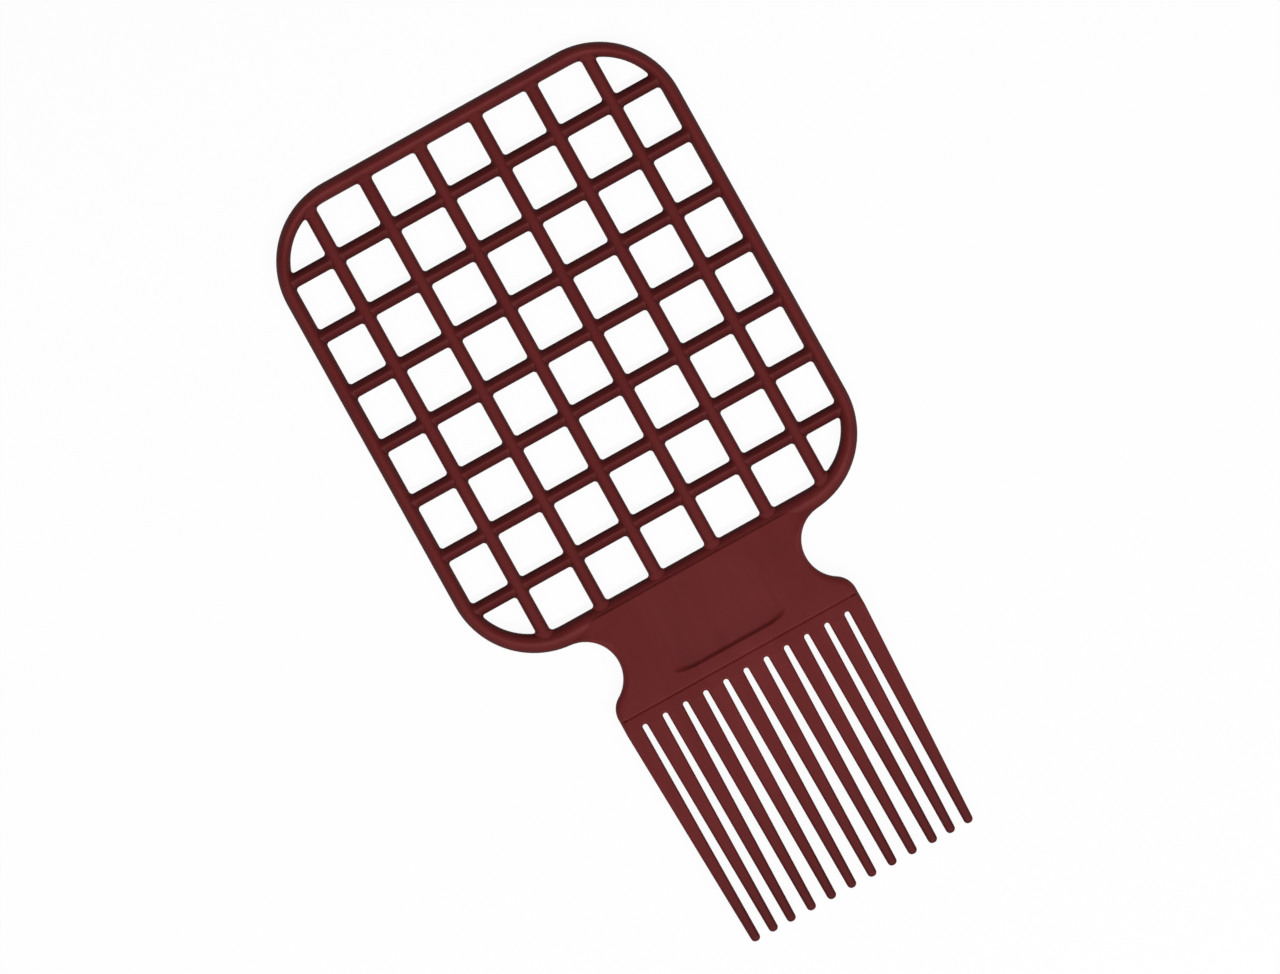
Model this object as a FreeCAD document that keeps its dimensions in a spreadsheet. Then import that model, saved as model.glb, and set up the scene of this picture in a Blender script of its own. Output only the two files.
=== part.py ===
"""Afro pick: a lattice handle, a notched neck and a row of tapered teeth, in millimetres.

The pick lies flat on its back. X runs across it, Y along it with the teeth towards -Y, and Z up through
its thickness. The origin is under the middle of its outline, on the surface that it lies on. The whole
pick is one moulding, so its members meet face to face and none of them moves.
"""
import FreeCAD, Part
import os
from math import asin, atan2, cos, pi
import Sketcher

doc = FreeCAD.newDocument("afro_pick")

# Driving sizes. Lengths are in millimetres, long_bars, cross_bars and teeth are counts, and
# thumb_rest_draft is in degrees. A crown is how far a bar's front and back bulge between its sides, and a
# ridge is how far they rise like a roof to an edge along its middle.
SIZES = {
    "paddle_width": 92.1,
    "paddle_length": 108.2,
    "corner_radius": 18.5,
    "rim_side": 3.2,
    "rim_top": 3.65,
    "rim_bottom": 4.6,
    "rim_thickness": 3.6,
    "rim_round": 1.3,
    "window_corner": 14.1,
    "window_bevel": 0.3,
    "long_bars": 6,
    "long_bar_width": 2.9,
    "long_bar_crown": 0.25,
    "edge_column": 8.725,
    "cross_bars": 7,
    "cross_bar_width": 3.05,
    "cross_bar_ridge": 0.9,
    "edge_row": 9.69,
    "neck_proud": 0.3,
    "rim_lip": 2.0,
    "notch_radius": 7.7,
    "notch_bite": 5.863,
    "shoulder_radius": 4.7,
    "shoulder_land": 0.9,
    "edge_bevel": 0.5,
    "crease_depth": 0.25,
    "crease_reach": 0.4,
    "thumb_rest_width": 22.6,
    "thumb_rest_length": 16.4,
    "thumb_rest_depth": 0.7,
    "thumb_rest_corner": 2.5,
    "thumb_rest_land": 2.8,
    "thumb_rest_draft": 45,
    "teeth": 12,
    "tooth_bar_height": 3.0,
    "tooth_gap": 1.157,
    "tooth_root_width": 3.6,
    "tooth_tip_width": 1.95,
    "tooth_tip_thickness": 2.0,
    "tooth_length": 49.8,
    "tip_bevel": 0.45,
    "outer_lean": 1.13,
    "second_lean": 0.54,
    # The least flat that a rounding or bevel leaves on a wall.
    "least_flat": 0.15,
}

# Places and sizes that follow from the driving ones.
PLACES = {
    "neck_thickness": "sizes.rim_thickness + 2 * sizes.neck_proud",
    "mid_height": "neck_thickness / 2",
    "rim_least": "min(sizes.rim_side; sizes.rim_top; sizes.rim_bottom)",
    "rim_wall": "min(sizes.rim_thickness / 2; rim_least - sizes.window_bevel)",
    "rim_round": "min(sizes.rim_round; rim_wall - sizes.least_flat / 2)",
    "long_bar_thickness": "sizes.rim_thickness - 2 * sizes.window_bevel",
    "long_bar_side": "long_bar_thickness - 2 * sizes.long_bar_crown",
    "long_bar_reach": "sizes.long_bar_width ^ 2 / 4 + sizes.long_bar_crown ^ 2",
    "long_bar_arc": "long_bar_reach / (2 * sizes.long_bar_crown)",
    "cross_bar_thickness": "long_bar_side",
    "cross_bar_side": "max(sizes.least_flat; cross_bar_thickness - 2 * sizes.cross_bar_ridge)",
    "window_width": "sizes.paddle_width - 2 * sizes.rim_side",
    "window_length": "sizes.paddle_length - sizes.rim_top - sizes.rim_bottom",
    "window_rise": "(sizes.rim_bottom - sizes.rim_top) / 2",
    "window_radius": "min(sizes.window_corner; sizes.corner_radius)",
    "core_width": "sizes.paddle_width - sizes.rim_side",
    "core_length": "sizes.paddle_length - (sizes.rim_top + sizes.rim_bottom) / 2",
    "core_radius": "sizes.corner_radius - sizes.rim_side / 2",
    "long_bar_span": "window_width - 2 * sizes.edge_column - sizes.long_bar_width",
    "long_bar_pitch": "long_bar_span / (sizes.long_bars - 1)",
    "cross_bar_span": "window_length - 2 * sizes.edge_row - sizes.cross_bar_width",
    "cross_bar_pitch": "cross_bar_span / (sizes.cross_bars - 1)",
    "tooth_pitch": "sizes.tooth_root_width + sizes.tooth_gap",
    "comb_width": "(sizes.teeth - 1) * tooth_pitch + sizes.tooth_root_width",
    "comb_half": "comb_width / 2",
    "gap_radius": "sizes.tooth_gap / 2",
    "first_gap": "(sizes.teeth - 2) * tooth_pitch / 2",
    "tip_wall": "min(sizes.tooth_tip_width; sizes.tooth_tip_thickness) / 2",
    "edge_bevel": "min(sizes.edge_bevel; tip_wall - sizes.least_flat / 2)",
    "tip_bevel": "min(sizes.tip_bevel; tip_wall - sizes.least_flat / 2)",
    "inner_step": "(sizes.tooth_root_width - sizes.tooth_tip_width) / 2",
    "outer_step": "inner_step + sizes.outer_lean",
    "second_step": "inner_step + sizes.second_lean",
    "tip_half": "sizes.tooth_tip_thickness / 2",
    "corner_x": "sizes.paddle_width / 2 - sizes.corner_radius",
    "neck_seat": "sizes.rim_bottom - sizes.rim_lip",
    "notch_x": "comb_half - sizes.notch_bite + sizes.notch_radius",
    "notch_past_corner": "max(0; notch_x - corner_x)",
    "notch_reach": "sizes.corner_radius + sizes.notch_radius",
    "notch_fall": "sqrt(notch_reach ^ 2 - notch_past_corner ^ 2)",
    "notch_drop": "notch_fall - sizes.corner_radius",
    "flare_x": "notch_x - notch_past_corner * sizes.notch_radius / notch_reach",
    "flare_drop": "notch_drop - notch_fall * sizes.notch_radius / notch_reach",
    "nose_radius": "(neck_seat + flare_drop) / (1 + notch_fall / notch_reach)",
    "shoulder_x": "comb_half - sizes.shoulder_radius",
    "shoulder_reach": "sizes.notch_radius + sizes.shoulder_radius",
    "shoulder_drop": "sqrt(shoulder_reach ^ 2 - (notch_x - shoulder_x) ^ 2)",
    "neck_length": "notch_drop + shoulder_drop + sizes.shoulder_land",
    "pick_length": "sizes.paddle_length + neck_length + sizes.tooth_bar_height + sizes.tooth_length",
    "paddle_y": "(pick_length - sizes.paddle_length) / 2",
    "lattice_y": "paddle_y + window_rise",
    "rim_foot_y": "paddle_y - sizes.paddle_length / 2",
    "crease_y": "rim_foot_y - neck_length",
    "root_y": "crease_y - sizes.tooth_bar_height",
    "rest_outline": "sizes.thumb_rest_length + 2 * sizes.thumb_rest_corner",
    "rest_slope": "sizes.thumb_rest_depth / sizes.thumb_rest_length",
    "rest_y": "sizes.thumb_rest_land + sizes.thumb_rest_depth + rest_outline / 2 - neck_length",
    "rest_z": "mid_height - sizes.thumb_rest_depth + rest_slope * rest_outline / 2",
}

# How sketch constraints number the ends and centre of an edge, the sketch's origin and its upright axis.
START, END, CENTRE = range(1, 4)
ORIGIN, UPRIGHT = range(-1, -3, -1)

# Smaller than any edge of the pick.
FLAT = 0.0001

# Half a turn about the length of a tooth.
TURNED_OVER = FreeCAD.Rotation(FreeCAD.Vector(0, 1, 0), 180)


def make_sheet(name, cells):
    """A sheet with one named cell in each row."""
    sheet = doc.addObject("Spreadsheet::Sheet", name)
    for row, (alias, content) in enumerate(cells.items(), start=1):
        sheet.set(f"A{row}", content)
        sheet.setAlias(f"A{row}", alias)
    doc.recompute()


make_sheet("sizes", {alias: str(number) for alias, number in SIZES.items()})
make_sheet("places", {alias: "=" + formula for alias, formula in PLACES.items()})


def value(reference):
    """The number in a named cell, such as sizes.rim_side."""
    sheet, alias = reference.split(".")
    return float(getattr(doc.getObject(sheet), alias))


def new_body(label, x="0", y="places.paddle_y"):
    """An empty body whose own origin lies at mid thickness, at the given place on the pick."""
    body = doc.addObject("PartDesign::Body", label)
    body.Label = label
    body.setExpression("Placement.Base.x", x)
    body.setExpression("Placement.Base.y", y)
    body.setExpression("Placement.Base.z", "places.mid_height")
    return body


def origin_part(body, role):
    """One of the body's own origin planes or axes."""
    return next(feature for feature in body.Origin.OriginFeatures if feature.Role == role)


def new_sketch(body, name, role, x="0", y="0", z="0"):
    """A sketch on one of the body's own origin planes, moved in the plane's own directions."""
    sketch = body.newObject("Sketcher::SketchObject", name)
    sketch.AttachmentSupport = [(origin_part(body, role), "")]
    sketch.MapMode = "FlatFace"
    sketch.setExpression("AttachmentOffset.Base.x", x)
    sketch.setExpression("AttachmentOffset.Base.y", y)
    sketch.setExpression("AttachmentOffset.Base.z", z)
    return sketch


def line(sketch, start, end):
    """A straight edge of a sketch."""
    edge = Part.LineSegment(FreeCAD.Vector(*start, 0), FreeCAD.Vector(*end, 0))
    return sketch.addGeometry(edge, False)


def arc(sketch, centre, radius, start_angle, end_angle):
    """A round edge of a sketch, anticlockwise between two angles in radians."""
    circle = Part.Circle(FreeCAD.Vector(*centre, 0), FreeCAD.Vector(0, 0, 1), radius)
    return sketch.addGeometry(Part.ArcOfCircle(circle, start_angle, end_angle), False)


def constrain(sketch, *terms):
    """A constraint of a sketch."""
    return sketch.addConstraint(Sketcher.Constraint(*terms))


def join(sketch, *edges):
    """Joins the end of each edge to the start of the next one."""
    for edge, following in zip(edges, edges[1:]):
        constrain(sketch, "Coincident", edge, END, following, START)


def dimension(sketch, name, reference, *terms):
    """A dimension of a sketch, tied to a named cell."""
    index = constrain(sketch, *terms, value(reference))
    sketch.renameConstraint(index, name)
    sketch.setExpression(f"Constraints.{name}", reference)


def rounded_rectangle(sketch, width, height, radius):
    """A rectangle with four equal round corners about the sketch's origin."""
    half_w = value(width) / 2
    half_h = value(height) / 2
    r = value(radius)
    in_x = half_w - r
    in_y = half_h - r
    sides = [
        line(sketch, (-in_x, -half_h), (in_x, -half_h)),
        line(sketch, (half_w, -in_y), (half_w, in_y)),
        line(sketch, (in_x, half_h), (-in_x, half_h)),
        line(sketch, (-half_w, in_y), (-half_w, -in_y)),
    ]
    centres = [(in_x, -in_y), (in_x, in_y), (-in_x, in_y), (-in_x, -in_y)]
    corners = [arc(sketch, at, r, (k - 1) * pi / 2, k * pi / 2) for k, at in enumerate(centres)]
    for k in range(4):
        constrain(sketch, "Tangent", sides[k], END, corners[k], START)
        constrain(sketch, "Tangent", corners[k], END, sides[(k + 1) % 4], START)
        constrain(sketch, "Vertical" if k % 2 else "Horizontal", sides[k])
    for k in range(1, 4):
        constrain(sketch, "Equal", corners[0], corners[k])
    constrain(sketch, "Symmetric", sides[0], START, sides[2], START, ORIGIN, START)
    dimension(sketch, "width", width, "DistanceX", sides[3], START, sides[1], START)
    dimension(sketch, "height", height, "DistanceY", sides[0], START, sides[2], START)
    dimension(sketch, "radius", radius, "Radius", corners[0])


def rectangle(sketch, width, height):
    """A plain rectangle about the sketch's origin."""
    half_w = value(width) / 2
    half_h = value(height) / 2
    foot = line(sketch, (-half_w, -half_h), (half_w, -half_h))
    right = line(sketch, (half_w, -half_h), (half_w, half_h))
    top = line(sketch, (half_w, half_h), (-half_w, half_h))
    left = line(sketch, (-half_w, half_h), (-half_w, -half_h))
    join(sketch, foot, right, top, left, foot)
    for level, upright in ((foot, right), (top, left)):
        constrain(sketch, "Horizontal", level)
        constrain(sketch, "Vertical", upright)
    constrain(sketch, "Symmetric", foot, START, top, START, ORIGIN, START)
    dimension(sketch, "width", width, "DistanceX", foot, START, foot, END)
    dimension(sketch, "height", height, "DistanceY", right, START, right, END)


def crowned_section(sketch, width, side, radius):
    """A bar's section about the sketch's origin: two straight sides, and a round front and back."""
    half_w = value(width) / 2
    half_h = value(side) / 2
    r = value(radius)
    half_turn = asin(half_w / r)
    drop = r * cos(half_turn) - half_h
    right = line(sketch, (half_w, -half_h), (half_w, half_h))
    front = arc(sketch, (0, -drop), r, pi / 2 - half_turn, pi / 2 + half_turn)
    left = line(sketch, (-half_w, half_h), (-half_w, -half_h))
    back = arc(sketch, (0, drop), r, -pi / 2 - half_turn, -pi / 2 + half_turn)
    join(sketch, right, front, left, back, right)
    for upright in (right, left):
        constrain(sketch, "Vertical", upright)
    constrain(sketch, "Symmetric", right, START, left, START, ORIGIN, START)
    constrain(sketch, "Equal", front, back)
    dimension(sketch, "width", width, "DistanceX", left, START, right, END)
    dimension(sketch, "side", side, "DistanceY", right, START, right, END)
    dimension(sketch, "radius", radius, "Radius", front)


def ridged_section(sketch, width, side, thickness):
    """A bar's section about the sketch's origin: two straight sides, and a front and back like a roof."""
    half_w = value(width) / 2
    half_h = value(side) / 2
    top = value(thickness) / 2
    right = line(sketch, (half_w, -half_h), (half_w, half_h))
    front_right = line(sketch, (half_w, half_h), (0, top))
    front_left = line(sketch, (0, top), (-half_w, half_h))
    left = line(sketch, (-half_w, half_h), (-half_w, -half_h))
    back_left = line(sketch, (-half_w, -half_h), (0, -top))
    back_right = line(sketch, (0, -top), (half_w, -half_h))
    join(sketch, right, front_right, front_left, left, back_left, back_right, right)
    for upright in (right, left):
        constrain(sketch, "Vertical", upright)
    constrain(sketch, "PointOnObject", front_left, START, UPRIGHT)
    constrain(sketch, "Symmetric", right, START, left, START, ORIGIN, START)
    constrain(sketch, "Symmetric", front_left, START, back_right, START, ORIGIN, START)
    dimension(sketch, "width", width, "DistanceX", left, START, right, END)
    dimension(sketch, "side", side, "DistanceY", right, START, right, END)
    dimension(sketch, "thickness", thickness, "DistanceY", back_right, START, front_left, START)


def extrude(body, kind, name, sketch, length):
    """A pad or pocket that runs equally to both sides of its sketch."""
    feature = body.newObject(f"PartDesign::{kind}", name)
    feature.Profile = sketch
    feature.SideType = "Symmetric"
    feature.setExpression("Length", length)
    return feature


def dress_edges(body, kind, name, base, size, chosen):
    """Rounds or bevels the edges of a feature whose box the given test picks."""
    doc.recompute()
    names = [f"Edge{k}" for k, edge in enumerate(base.Shape.Edges, start=1) if chosen(edge.BoundBox)]
    dressing = body.newObject(f"PartDesign::{kind}", name)
    dressing.Base = (base, names)
    dressing.setExpression("Radius" if kind == "Fillet" else "Size", size)
    return dressing


def on_a_broad_face(box):
    """Whether an edge lies at one height, as the edges of the front and the back do."""
    return box.ZLength < FLAT


def combine(kind, label, base, tool):
    """A cut or common solid of two objects, as an object of its own."""
    result = doc.addObject(f"Part::{kind}", label)
    result.Label = label
    result.Base = base
    result.Tool = tool
    return result


def make_hoop():
    """The handle's hoop, rounded outside and bevelled inside, before the neck is let into its foot."""
    body = new_body("hoop")
    outline = new_sketch(body, "hoop_outline", "XY_Plane")
    rounded_rectangle(outline, "sizes.paddle_width", "sizes.paddle_length", "sizes.corner_radius")
    plate = extrude(body, "Pad", "hoop_plate", outline, "sizes.rim_thickness")
    dress_edges(body, "Fillet", "hoop_rounding", plate, "places.rim_round", on_a_broad_face)
    window = new_sketch(body, "hoop_window", "XY_Plane", y="places.window_rise")
    rounded_rectangle(window, "places.window_width", "places.window_length", "places.window_radius")
    opening = extrude(body, "Pocket", "hoop_opening", window, "2 * sizes.rim_thickness")
    half_width = value("places.window_width") / 2 + FLAT
    half_length = value("places.window_length") / 2 + FLAT
    rise = value("places.window_rise")

    def at_the_window(box):
        across = max(-box.XMin, box.XMax)
        along = max(rise - box.YMin, box.YMax - rise)
        return on_a_broad_face(box) and across < half_width and along < half_length

    dress_edges(body, "Chamfer", "hoop_bevel", opening, "sizes.window_bevel", at_the_window)
    return body


def make_core():
    """A plate that reaches to the middle of the hoop all round, to be cut to the room inside the hoop."""
    body = new_body("core")
    outline = new_sketch(body, "core_outline", "XY_Plane", y="places.window_rise / 2")
    rounded_rectangle(outline, "places.core_width", "places.core_length", "places.core_radius")
    extrude(body, "Pad", "core_plate", outline, "sizes.rim_thickness")
    return body


def make_long_rod(label, x):
    """A crowned rod right along the handle, before it is fitted into the hoop."""
    body = new_body(label, x, "places.lattice_y")
    section = new_sketch(body, f"{label}_section", "XZ_Plane")
    crowned_section(section, "sizes.long_bar_width", "places.long_bar_side", "places.long_bar_arc")
    extrude(body, "Pad", f"{label}_length", section, "sizes.paddle_length")
    return body


def make_cross_rod(label, y):
    """A ridged rod right across the handle, before it is cut into rungs between the long bars."""
    body = new_body(label, "0", y)
    section = new_sketch(body, f"{label}_section", "YZ_Plane")
    ridged_section(section, "sizes.cross_bar_width", "places.cross_bar_side", "places.cross_bar_thickness")
    extrude(body, "Pad", f"{label}_length", section, "sizes.paddle_width")
    return body


def make_lattice(hoop):
    """Long bars that seat in the hoop, and cross bars in rungs between the long bars and the hoop."""
    room = combine("Cut", "room_in_hoop", make_core(), hoop)
    rods = []
    for k in range(int(value("sizes.long_bars"))):
        x = f"({k} - (sizes.long_bars - 1) / 2) * places.long_bar_pitch"
        rods.append(make_long_rod(f"long_rod_{k + 1}", x))
    long_bars = [combine("Common", f"long_bar_{k}", rod, room) for k, rod in enumerate(rods, start=1)]
    all_rods = doc.addObject("Part::Compound", "all_long_rods")
    all_rods.Links = rods
    columns = combine("Cut", "room_between_long_bars", room, all_rods)
    cross_bars = []
    for k in range(int(value("sizes.cross_bars"))):
        y = f"places.lattice_y + ((sizes.cross_bars - 1) / 2 - {k}) * places.cross_bar_pitch"
        rod = make_cross_rod(f"cross_rod_{k + 1}", y)
        cross_bars.append(combine("Common", f"cross_bar_{k + 1}", rod, columns))
    return long_bars + cross_bars


def half_neck_outline(sketch):
    """The neck's right half from the rim's foot: round-nosed head, finger notch, shoulder and crease."""
    seat = value("places.neck_seat")
    foot = -value("places.neck_length")
    comb = value("places.comb_half")
    notch_at = (value("places.notch_x"), -value("places.notch_drop"))
    shoulder_at = (value("places.shoulder_x"), notch_at[1] - value("places.shoulder_drop"))
    flare_at = (value("places.flare_x"), -value("places.flare_drop"))
    flare_angle = atan2(flare_at[1] - notch_at[1], flare_at[0] - notch_at[0])
    bend_angle = atan2(notch_at[1] - shoulder_at[1], notch_at[0] - shoulder_at[0])
    nose_radius = value("places.nose_radius")
    nose_at = (flare_at[0] + nose_radius * cos(flare_angle), seat - nose_radius)

    head = line(sketch, (0, seat), (nose_at[0], seat))
    nose = arc(sketch, nose_at, nose_radius, flare_angle - pi, pi / 2)
    notch = arc(sketch, notch_at, value("sizes.notch_radius"), flare_angle, bend_angle + pi)
    shoulder = arc(sketch, shoulder_at, value("sizes.shoulder_radius"), 0, bend_angle)
    side = line(sketch, (comb, shoulder_at[1]), (comb, foot))
    crease = line(sketch, (comb, foot), (0, foot))
    middle = line(sketch, (0, foot), (0, seat))

    join(sketch, side, crease, middle, head)
    constrain(sketch, "Tangent", head, END, nose, END)
    constrain(sketch, "Tangent", nose, START, notch, START)
    constrain(sketch, "Tangent", notch, END, shoulder, END)
    constrain(sketch, "Tangent", shoulder, START, side, START)
    for edge in (head, crease):
        constrain(sketch, "Horizontal", edge)
    for edge in (side, middle):
        constrain(sketch, "Vertical", edge)
    constrain(sketch, "PointOnObject", middle, START, UPRIGHT)
    dimension(sketch, "seat", "places.neck_seat", "DistanceY", ORIGIN, START, head, START)
    dimension(sketch, "flare", "places.flare_x", "DistanceX", ORIGIN, START, notch, START)
    dimension(sketch, "notch_out", "places.notch_x", "DistanceX", ORIGIN, START, notch, CENTRE)
    dimension(sketch, "notch_down", "places.notch_drop", "DistanceY", notch, CENTRE, ORIGIN, START)
    dimension(sketch, "notch", "sizes.notch_radius", "Radius", notch)
    dimension(sketch, "shoulder", "sizes.shoulder_radius", "Radius", shoulder)
    dimension(sketch, "comb", "places.comb_half", "DistanceX", ORIGIN, START, side, START)
    dimension(sketch, "length", "places.neck_length", "DistanceY", crease, START, ORIGIN, START)


def cut_crease(body, name, way, y):
    """Half of the shallow vee across the front and the back at the crease, on its +Y or -Y side."""
    sketch = new_sketch(body, f"{name}_section", "YZ_Plane", x=y)
    depth = value("sizes.crease_depth")
    reach = way * value("sizes.crease_reach")
    for face in (1, -1):
        top = face * value("places.mid_height")
        slope = line(sketch, (0, top - face * depth), (reach, top))
        skin = line(sketch, (reach, top), (0, top))
        wall = line(sketch, (0, top), (0, top - face * depth))
        join(sketch, slope, skin, wall, slope)
        constrain(sketch, "Horizontal", skin)
        constrain(sketch, "Vertical", wall)
        constrain(sketch, "PointOnObject", wall, START, UPRIGHT)
        across = (skin, END, skin, START) if way > 0 else (skin, START, skin, END)
        down = (wall, END, wall, START) if face > 0 else (wall, START, wall, END)
        height = (ORIGIN, START, wall, START) if face > 0 else (wall, START, ORIGIN, START)
        side = "front" if face > 0 else "back"
        dimension(sketch, f"{side}_reach", "sizes.crease_reach", "DistanceX", *across)
        dimension(sketch, f"{side}_depth", "sizes.crease_depth", "DistanceY", *down)
        dimension(sketch, f"{side}_height", "places.mid_height", "DistanceY", *height)
    extrude(body, "Pocket", name, sketch, "2 * places.comb_width")


def cut_thumb_rest(body):
    """A shallow bare hollow in the front, deepest at its lower edge, that runs out at the top."""
    sketch = new_sketch(body, "thumb_rest_outline", "XY_Plane", y="places.rest_y", z="places.rest_z")
    sketch.AttachmentOffset.Rotation.Axis = FreeCAD.Vector(1, 0, 0)
    sketch.setExpression("AttachmentOffset.Rotation.Angle", "atan(places.rest_slope)")
    rounded_rectangle(sketch, "sizes.thumb_rest_width", "places.rest_outline", "sizes.thumb_rest_corner")
    doc.recompute()
    uncut = body.Shape.Volume
    rest = body.newObject("PartDesign::Pocket", "thumb_rest")
    rest.Profile = sketch
    rest.Reversed = True
    rest.setExpression("Length", "2 * sizes.thumb_rest_depth")
    rest.setExpression("TaperAngle", "sizes.thumb_rest_draft")
    doc.recompute()
    if body.Shape.Volume >= uncut:
        raise RuntimeError("the thumb rest cuts nothing")


def make_neck():
    """The neck plate, which stands a little proud of the rim on both faces."""
    body = new_body("neck_plate", y="places.rim_foot_y")
    outline = new_sketch(body, "neck_outline", "XY_Plane")
    half_neck_outline(outline)
    half = extrude(body, "Pad", "half_neck", outline, "places.neck_thickness")
    whole = body.newObject("PartDesign::Mirrored", "whole_neck")
    whole.Originals = [half]
    whole.MirrorPlane = (origin_part(body, "YZ_Plane"), [""])
    body.Tip = whole
    foot = FLAT - value("places.neck_length")

    def above_the_crease(box):
        return on_a_broad_face(box) and box.YMax > foot

    dress_edges(body, "Chamfer", "neck_bevel", whole, "places.edge_bevel", above_the_crease)
    cut_thumb_rest(body)
    cut_crease(body, "neck_crease", 1, "-places.neck_length")
    return body


def make_tooth_bar():
    """The bar across the shoulders that carries the teeth, with a half-round root to each gap."""
    body = new_body("tooth_bar", y="places.crease_y")
    outline = new_sketch(body, "tooth_bar_outline", "XY_Plane", y="-sizes.tooth_bar_height / 2")
    rectangle(outline, "places.comb_width", "sizes.tooth_bar_height")
    extrude(body, "Pad", "tooth_bar_plate", outline, "places.neck_thickness")
    gap = new_sketch(body, "gap_root", "XY_Plane", x="-places.first_gap", y="-sizes.tooth_bar_height")
    circle = Part.Circle(FreeCAD.Vector(), FreeCAD.Vector(0, 0, 1), value("places.gap_radius"))
    root = gap.addGeometry(circle, False)
    constrain(gap, "Coincident", root, CENTRE, ORIGIN, START)
    dimension(gap, "radius", "places.gap_radius", "Radius", root)
    first = extrude(body, "Pocket", "first_gap_root", gap, "2 * places.neck_thickness")
    row = body.newObject("PartDesign::LinearPattern", "gap_roots")
    row.Originals = [first]
    row.Direction = (origin_part(body, "X_Axis"), [""])
    row.Mode = "Spacing"
    row.setExpression("Offset", "places.tooth_pitch")
    row.setExpression("Occurrences", "sizes.teeth - 1")
    body.Tip = row

    def at_an_end_or_gap(box):
        return on_a_broad_face(box) and box.YLength > FLAT

    dress_edges(body, "Chamfer", "tooth_bar_bevel", row, "places.edge_bevel", at_an_end_or_gap)
    cut_crease(body, "tooth_bar_crease", -1, "0")
    return body


def tooth_outline(sketch, step):
    """A tooth from the front: its sides draw in to the tip, the left one by the given step."""
    root_half = value("sizes.tooth_root_width") / 2
    tip_y = -value("sizes.tooth_length")
    tip_left = value(step) - root_half
    tip_right = tip_left + value("sizes.tooth_tip_width")
    root = line(sketch, (root_half, 0), (-root_half, 0))
    left = line(sketch, (-root_half, 0), (tip_left, tip_y))
    tip = line(sketch, (tip_left, tip_y), (tip_right, tip_y))
    right = line(sketch, (tip_right, tip_y), (root_half, 0))
    join(sketch, root, left, tip, right, root)
    constrain(sketch, "Horizontal", tip)
    constrain(sketch, "Symmetric", root, START, root, END, ORIGIN, START)
    constrain(sketch, "Horizontal", root)
    dimension(sketch, "root_width", "sizes.tooth_root_width", "DistanceX", root, END, root, START)
    dimension(sketch, "tip_width", "sizes.tooth_tip_width", "DistanceX", tip, START, tip, END)
    dimension(sketch, "length", "sizes.tooth_length", "DistanceY", tip, START, root, END)
    dimension(sketch, "step", step, "DistanceX", root, END, tip, START)


def thinning_wedges(sketch):
    """The two wedges that come off a tooth's front and back, seen from the side."""
    thick = value("places.mid_height")
    thin = value("places.tip_half")
    tip_y = -value("sizes.tooth_length")
    for face in (1, -1):
        skin = line(sketch, (0, face * thick), (tip_y, face * thick))
        end = line(sketch, (tip_y, face * thick), (tip_y, face * thin))
        slope = line(sketch, (tip_y, face * thin), (0, face * thick))
        join(sketch, skin, end, slope, skin)
        constrain(sketch, "Horizontal", skin)
        constrain(sketch, "Vertical", end)
        constrain(sketch, "PointOnObject", skin, START, UPRIGHT)
        side = "front" if face > 0 else "back"
        height = (ORIGIN, START, skin, START) if face > 0 else (skin, START, ORIGIN, START)
        tip = (ORIGIN, START, end, END) if face > 0 else (end, END, ORIGIN, START)
        dimension(sketch, f"{side}_root", "places.mid_height", "DistanceY", *height)
        dimension(sketch, f"{side}_tip", "places.tip_half", "DistanceY", *tip)
        dimension(sketch, f"{side}_length", "sizes.tooth_length", "DistanceX", skin, END, skin, START)


def make_tooth(number, step, turned):
    """One tooth, which thins to a blunt tip. A tooth that is turned over leans the other way."""
    label = f"tooth_{number:02d}"
    x = f"({number - 1} - (sizes.teeth - 1) / 2) * places.tooth_pitch"
    body = new_body(label, x, "places.root_y")
    if turned:
        body.Placement.Rotation = TURNED_OVER
    outline = new_sketch(body, f"{label}_outline", "XY_Plane")
    tooth_outline(outline, step)
    extrude(body, "Pad", f"{label}_plate", outline, "places.neck_thickness")
    wedges = new_sketch(body, f"{label}_wedges", "YZ_Plane")
    thinning_wedges(wedges)
    shank = extrude(body, "Pocket", f"{label}_shank", wedges, "2 * places.tooth_pitch")
    tip_y = FLAT - value("sizes.tooth_length")

    def along_the_tooth(box):
        return box.YMin < tip_y and box.YMax > tip_y

    def at_the_tip(box):
        return box.YMax < tip_y

    flanks = dress_edges(body, "Chamfer", f"{label}_bevel", shank, "places.edge_bevel", along_the_tooth)
    dress_edges(body, "Chamfer", f"{label}_tip_bevel", flanks, "places.tip_bevel", at_the_tip)
    return body


def make_teeth():
    """The row of teeth. The outer two at each end lean inwards."""
    count = int(value("sizes.teeth"))
    steps = {1: "places.outer_step", 2: "places.second_step"}
    teeth = []
    for number in range(1, count + 1):
        from_end = min(number, count + 1 - number)
        step = steps.get(from_end, "places.inner_step")
        teeth.append(make_tooth(number, step, turned=number > from_end))
    return teeth


def check(nodes):
    """Stops on any object that failed, and on any sub-part that is empty or not sound."""
    doc.recompute()
    for item in doc.Objects:
        if "Invalid" in item.State or "Error" in item.State:
            raise RuntimeError(f"{item.Label} failed: {item.State}")
    for node in nodes:
        if node.Shape.isNull() or not node.Shape.Solids or not node.Shape.isValid():
            raise RuntimeError(f"{node.Label} has no sound solid")


hoop = make_hoop()
neck = make_neck()
rim = combine("Cut", "handle_rim", hoop, neck)
nodes = [rim] + make_lattice(hoop) + [neck, make_tooth_bar()] + make_teeth()
check(nodes)
os.makedirs("parts", exist_ok=True)
for node in nodes:
    node.Shape.exportStep(f"parts/{node.Label}.step")
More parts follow.
